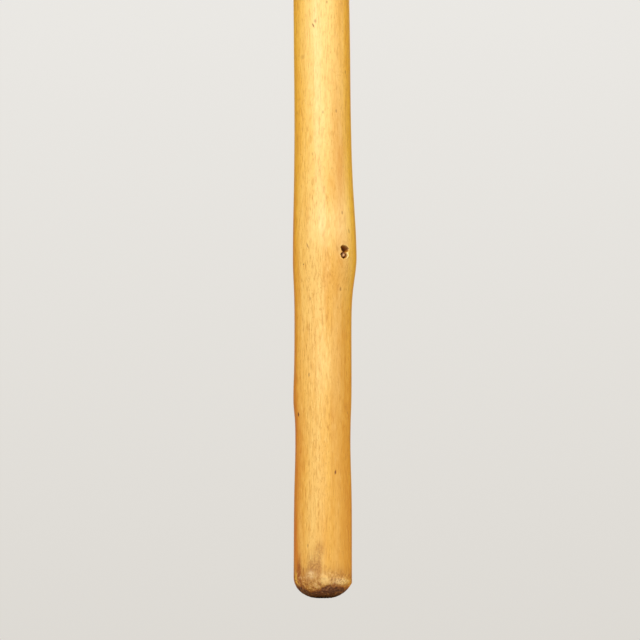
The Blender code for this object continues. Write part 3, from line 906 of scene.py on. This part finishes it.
def nick_weight(graph, position, nick):
    """1 inside a nick in the skin, falling to 0 at its edge."""
    reach = float(shaft_radius(nick.height, nick.facing)) - float(knife_flat(nick.height, nick.facing))
    centre = outward_vector(nick.facing) * reach + Vector((0, 0, nick.height))
    turn = Matrix.Rotation(math.radians(nick.facing), 3, "Z")
    turn = turn @ Matrix.Rotation(math.radians(nick.lean), 3, "Y")
    size = (nick.wide, NICK_DEPTH, nick.long)
    inputs = {"Vector": position, "Location": centre, "Rotation": turn.to_euler(), "Scale": size}
    local = graph.node("ShaderNodeMapping", inputs, vector_type="TEXTURE").outputs["Vector"]
    return graph.span(graph.length(local), 1.15, 0.25, 0.0, nick.strength)


def wood_skin(graph, grain, tone):
    """Colour of the varnished skin: broad tones, then fibres, pores and mottle."""
    broad = graph.noise(grain, (80, 80, 9), 2.0)
    bands = graph.noise(grain, (380, 380, 26), 3.0, 0.6, 0.2)
    fibres = graph.noise(grain, (1700, 1700, 230), 3.0, 0.60)
    threads = graph.noise(grain, (2400, 2400, 110), 2.0, 0.5)
    pores = graph.noise(grain, (2000, 2000, 600), 2.0)
    mottle = graph.noise(grain, (420, 420, 150), 3.0)
    warm = graph.noise(grain, (120, 120, 11), 2.0)

    lower = graph.span(graph.height(grain), tone.pale_above + PALE_FADE, tone.pale_above - PALE_FADE)

    skin = graph.mix(graph.span(broad, 0.35, 0.68), tone.light, tone.middle)
    skin = graph.mix(graph.times(lower, 0.38), skin, tone.deep)
    skin = graph.layer(skin, tone.amber, warm, 0.56, 0.74, 0.28)
    skin = graph.layer(skin, tone.deep, bands, 0.48, 0.74, 0.42)
    skin = graph.layer(skin, tone.streak, fibres, 0.50, 0.72, 0.62)
    skin = graph.layer(skin, tone.light, fibres, 0.47, 0.28, 0.62)
    skin = graph.layer(skin, tone.streak, threads, 0.54, 0.74, 0.34)
    skin = graph.layer(skin, tone.deep, mottle, 0.52, 0.75, 0.32)
    skin = graph.layer(skin, tone.streak, pores, 0.58, 0.74, 0.52)

    skin = graph.patch(skin, tone.amber, "amber", bands, 0.3, 0.6, 0.45, 0.9)
    skin = graph.patch(skin, tone.deep, "deep", mottle, 0.3, 0.7, 0.30, 0.55)
    # Painted highlights: the pale patches laid on the skin
    skin = graph.patch(skin, tone.pale, "pale", fibres, 0.3, 0.65, 0.85, 0.45)
    return skin, fibres, mottle


def end_grain(graph, grain, tone):
    """Colour of the dirty end of the wood: growth rings crossed by fine rays, and grey-brown scuffs."""
    flat = graph.stretch(grain, (1, 1, 0))
    direction = graph.node("ShaderNodeVectorMath", {0: flat}, operation="NORMALIZE").outputs[0]
    wobble = graph.noise(grain, (260, 260, 90), 3.0, 0.6)
    phase = graph.times(graph.length(flat), math.tau / RING_SPACING)
    rings = graph.math("SINE", graph.plus(phase, graph.times(wobble, RING_WOBBLE)))
    rays = graph.noise(direction, (26, 26, 1), 3.0, 0.7)
    scuffs = graph.noise(grain, (800, 800, 800), 3.0, 0.6)
    skin = graph.mix(graph.span(rings, -0.4, 0.9, 0.0, 0.26), tone.dark, tone.end)
    skin = graph.layer(skin, tone.dark, rays, 0.54, 0.70, 0.55)
    return graph.layer(skin, tone.end, scuffs, 0.52, 0.68, 0.80)


def wood(name, tone, nicks, roughness, coat):
    graph = Graph(bpy.data.materials.new(name))
    grain = graph.attribute("grain", "Vector")
    worn = graph.attribute("worn")
    skin, fibres, mottle = wood_skin(graph, grain, tone)

    # Small dark dots strewn along the whole length, and larger faint smudges
    skin = graph.mix(graph.dots(grain, (170, 170, 80), 0.10, 0.50), skin, tone.stain)
    skin = graph.mix(graph.dots(grain, (90, 90, 40), 0.13, 0.26), skin, tone.streak)

    # Dirt and wear at the end of the wood: brown smears, a pale rubbed edge with painted glints on it, and
    # dark end grain under it
    ragged = graph.noise(grain, (420, 420, 300), 4.0, 0.65)
    speckle = graph.noise(grain, (1500, 1500, 1100), 3.0, 0.6)
    uneven = graph.plus(worn, graph.times(graph.plus(ragged, -0.5), 0.45))
    uneven = graph.plus(uneven, graph.times(graph.plus(speckle, -0.5), 0.20))
    # Less dirt under the painted highlights
    outside_highlights = graph.span(graph.attribute("pale"), 0.0, 0.8, 1.0, 0.2)
    skin = graph.patch(skin, tone.stain, "stain", speckle, 0.3, 0.6, 0.45, 1.0)
    smeared = graph.times(graph.span(uneven, 1.1, 0.1, 0.0, 0.42), outside_highlights)
    skin = graph.mix(smeared, skin, tone.stain)
    scuffs = graph.noise(grain, (900, 900, 700), 3.0, 0.6)
    scuffed_and_glint_band = graph.times(graph.span(uneven, 0.75, 0.15), outside_highlights)
    darker = graph.times(scuffed_and_glint_band, graph.span(scuffs, 0.48, 0.62, 0.0, 0.8))
    skin = graph.mix(darker, skin, tone.stain)
    # Painted glints with whitish scraped wood: pale spots in the worn band
    glints_and_scrapes = graph.times(scuffed_and_glint_band, graph.span(scuffs, 0.46, 0.34, 0.0, 0.45))
    skin = graph.mix(glints_and_scrapes, skin, SCRAPED_AND_GLINT_COLOUR)
    # Painted glints and whitish scraped wood, in the patches at the worn edge
    skin = graph.patch(skin, SCRAPED_AND_GLINT_COLOUR, "scraped_and_glints", speckle, 0.38, 0.58, 0.25, 1.0)
    skin = graph.layer(skin, tone.stain, uneven, 0.10, -0.04, 0.75)
    skin = graph.layer(skin, end_grain(graph, grain, tone), uneven, 0.00, -0.10, 0.96)

    # The hole in the knot: brown inside, with painted shade round its edge and a pale painted highlight on
    # the healed lip beside it
    hollow = graph.attribute("hollow")
    skin = graph.layer(skin, tone.light, hollow, 1.75, 1.25, 0.25)
    # Painted highlight on the healed lip
    skin = graph.layer(skin, LIP_HIGHLIGHT_COLOUR, graph.attribute("lip_highlight"), 0.25, 0.8, 0.85)
    # Painted shade: a darker line round the hole's edge
    skin = graph.layer(skin, tone.stain, hollow, 1.14, 0.96, 0.80)
    skin = graph.layer(skin, HOLLOW_COLOUR, hollow, 0.98, 0.70, 0.85)

    position = graph.position()
    relief = graph.plus(graph.times(fibres, 0.6), graph.times(mottle, 0.4))
    for nick in nicks:
        weight = nick_weight(graph, position, nick)
        skin = graph.mix(weight, skin, tone.stain)
        skin = graph.layer(skin, tone.dark, weight, 0.55, 1.0, 0.7)
        relief = graph.math("SUBTRACT", relief, graph.times(weight, 3.0))

    # Painted shade: a warm tint darkens the colour where the surface is seen at a grazing angle, so the
    # edges look shaded
    facing = graph.node("ShaderNodeLayerWeight", {"Blend": 0.35}).outputs["Facing"]
    grazing_shade = graph.span(facing, 0.06, 0.64)
    skin = graph.mix(grazing_shade, skin, GRAZING_SHADE_TINT, "MULTIPLY")

    dull = graph.span(uneven, 0.5, -0.1, 0.0, 0.35)
    gloss = graph.plus(graph.span(mottle, 0.3, 0.7, roughness - 0.05, roughness + 0.08), dull)
    normal = graph.bump(relief, 0.10 * MM, 0.5)
    rough_end = graph.bump(speckle, 0.5 * MM, 0.6, normal)
    return graph.finish(
        Base_Color=skin,
        Roughness=gloss,
        Normal=graph.mix_vectors(graph.span(uneven, 0.4, 0.0), normal, rough_end),
        Coat_Weight=coat,
        Coat_Roughness=0.22,
        Specular_IOR_Level=0.22,
    )


def dead_wood():
    graph = Graph(bpy.data.materials.new("dead_branch_wood"))
    grain = graph.attribute("grain", "Vector")
    rings = graph.noise(grain, (1500, 1500, 500), 4.0, 0.6)
    pith = graph.span(graph.length(graph.stretch(grain, (1, 1, 0))), 0.85 * MM, 0.30 * MM)
    skin = graph.mix(pith, colour(126, 74, 36), colour(236, 184, 128))
    skin = graph.layer(skin, colour(84, 46, 22), rings, 0.50, 0.70, 0.6)
    return graph.finish(Base_Color=skin, Roughness=0.8, Normal=graph.bump(rings, 0.25 * MM, 0.8))


def aged_brass():
    graph = Graph(bpy.data.materials.new("aged_brass"))
    position = graph.position()
    patina = graph.noise(position, (160, 160, 160), 5.0, 0.62)
    scratches = graph.noise(position, (420, 420, 5200), 3.0, 0.6)
    spots = graph.noise(position, (900, 900, 900), 3.0, 0.6)
    metal = graph.mix(graph.span(patina, 0.40, 0.68), colour(212, 172, 98), colour(164, 120, 58))
    metal = graph.layer(metal, colour(96, 66, 32), spots, 0.62, 0.76, 0.6)
    metal = graph.layer(metal, colour(236, 204, 136), scratches, 0.56, 0.72, 0.3)
    gloss = graph.span(patina, 0.35, 0.7, 0.22, 0.42)
    gloss = graph.plus(gloss, graph.span(scratches, 0.4, 0.7, 0.0, 0.1))
    return graph.finish(
        Base_Color=metal,
        Metallic=1.0,
        Roughness=gloss,
        Normal=graph.bump(scratches, 0.02 * MM, 0.5),
    )


def horn():
    graph = Graph(bpy.data.materials.new("polished_horn"))
    position = graph.position()
    streaks = graph.noise(position, (120, 520, 900), 4.0, 0.6, 0.6)
    clouds = graph.noise(position, (90, 90, 200), 3.0)
    skin = graph.mix(graph.span(clouds, 0.4, 0.65), colour(28, 22, 19), colour(58, 42, 30))
    skin = graph.layer(skin, colour(150, 118, 78), streaks, 0.56, 0.74, 0.8)
    gloss = graph.span(streaks, 0.3, 0.7, 0.22, 0.34)
    return graph.finish(
        Base_Color=skin,
        Roughness=gloss,
        Coat_Weight=0.4,
        Coat_Roughness=0.12,
        Normal=graph.bump(streaks, 0.03 * MM, 0.4),
    )


def plated_steel():
    graph = Graph(bpy.data.materials.new("zinc_plated_steel"))
    position = graph.position()
    cloud = graph.noise(position, (500, 500, 500), 4.0, 0.6)
    metal = graph.mix(graph.span(cloud, 0.35, 0.7), colour(200, 203, 206), colour(168, 170, 166))
    return graph.finish(
        Base_Color=metal,
        Metallic=1.0,
        Roughness=graph.span(cloud, 0.3, 0.7, 0.28, 0.44),
        Normal=graph.bump(cloud, 0.02 * MM, 0.4),
    )


# --- Stage, light and camera -----------------------------------------------------------------------

FLOOR_COLOUR = colour(238, 236, 231)
FLOOR_HALF = 3.0
FLOOR_DROP = 0.6 * MM
FLOOR_FADE = (0.7, 2.4)  # distances from the tip between which the floor fades into the backdrop
BACKDROP_LOW = colour(216, 212, 205)
BACKDROP_HIGH = colour(238, 236, 232)
BACKDROP_FADE = (-0.1, 0.5)  # from the low colour to the high one, as the height of a unit direction
ROOM_LIGHT = 0.42  # strength with which the room lights the cane; the camera sees it at full strength


def floor_material():
    """Plain and pale. It fades out far away, and is clear from below, so no view of the cane is blocked."""
    graph = Graph(bpy.data.materials.new("pale_floor"))
    graph.finish(Base_Color=FLOOR_COLOUR, Roughness=0.9)
    geometry = graph.node("ShaderNodeNewGeometry")
    clear = graph.span(graph.length(geometry.outputs["Position"]), *FLOOR_FADE)
    clear = graph.math("MAXIMUM", clear, geometry.outputs["Backfacing"])
    glass = graph.node("ShaderNodeBsdfTransparent").outputs[0]
    shown = graph.node("ShaderNodeMixShader", {0: clear, 1: graph.shader.outputs[0], 2: glass}).outputs[0]
    graph.put(graph.tree.nodes["Material Output"].inputs["Surface"], shown)
    return graph.owner


def build_floor():
    half, drop = FLOOR_HALF, -FLOOR_DROP
    mesh = bpy.data.meshes.new("floor")
    corners = [(-half, -half, drop), (half, -half, drop), (half, half, drop), (-half, half, drop)]
    mesh.from_pydata(corners, [], [(0, 1, 2, 3)])
    mesh.materials.append(floor_material())
    link_object("floor", mesh)


def build_room():
    """An even, pale backdrop for the camera, which lights the cane less than it looks."""
    scene = bpy.context.scene
    scene.world = bpy.data.worlds.new("pale_room")
    graph = Graph(scene.world, "Background")
    climb = graph.span(graph.height(graph.position("Generated")), *BACKDROP_FADE, curve="LINEAR")
    seen = graph.node("ShaderNodeLightPath").outputs["Is Camera Ray"]
    graph.finish(
        Color=graph.mix(climb, BACKDROP_LOW, BACKDROP_HIGH),
        Strength=graph.span(seen, 0.0, 1.0, ROOM_LIGHT, 1.0),
    )
    scene.view_settings.view_transform = "Standard"
    scene.view_settings.look = "None"


def add_light(name, place, target, size, power, tint):
    data = bpy.data.lights.new(name, "AREA")
    data.shape = "DISK"
    data.size = size
    data.energy = power
    data.color = tint
    light = link_object(name, data)
    light.location = place
    light.rotation_euler = (Vector(target) - Vector(place)).to_track_quat("-Z", "Y").to_euler()


def build_lights():
    middle = (0, 0, 0.35)
    add_light("key", (-0.55, -1.9, 1.35), middle, 0.9, 34, (1.0, 0.97, 0.92))
    add_light("low_front", (0.15, -1.6, -0.15), (0, 0, 0.10), 0.7, 9, (1.0, 0.96, 0.90))
    add_light("right_fill", (1.9, -0.7, 0.9), middle, 1.4, 10, (1.0, 0.95, 0.88))
    add_light("back_fill", (0.3, 1.8, 2.2), middle, 2.4, 14, (1.0, 0.98, 0.95))


VIEW_TARGET = Vector((-1.2 * MM, 0, 120.8 * MM))
VIEW_DISTANCE = 0.75
VIEW_ELEVATION = -13  # degrees
VIEW_LENS = 96
SENSOR_WIDTH = 36


def build_camera():
    """Looks at the lower part of the shaft from the front and a little below its tip."""
    angle = math.radians(VIEW_ELEVATION)
    back = Vector((0, -math.cos(angle), math.sin(angle)))
    data = bpy.data.cameras.new("camera")
    data.lens = VIEW_LENS
    data.sensor_width = SENSOR_WIDTH
    data.clip_start = 0.01
    data.clip_end = 50
    camera = link_object("camera", data)
    camera.location = VIEW_TARGET + back * VIEW_DISTANCE
    camera.rotation_euler = (-back).to_track_quat("-Z", "Y").to_euler()
    bpy.context.scene.camera = camera


# --- The cane --------------------------------------------------------------------------------------


def finish_stud():
    """The stud keeps its CAD shape, and gets its plated steel."""
    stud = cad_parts["joining_stud"]
    stud.data.materials.clear()
    stud.data.materials.append(plated_steel())


def build_cane():
    brass = aged_brass()
    build_shaft(wood("peeled_wood_varnished", PEELED, NICKS, 0.42, 0.08))
    build_knot_stub(dead_wood())
    build_crook(wood("hand_polished_wood", HANDLED, [], 0.30, 0.35))
    build_spacer(horn())
    build_collar(brass)
    build_pin(brass, "collar_pin_front", 0)
    build_pin(brass, "collar_pin_back", 180)
    finish_stud()


build_cane()
build_floor()
build_room()
build_lights()
build_camera()
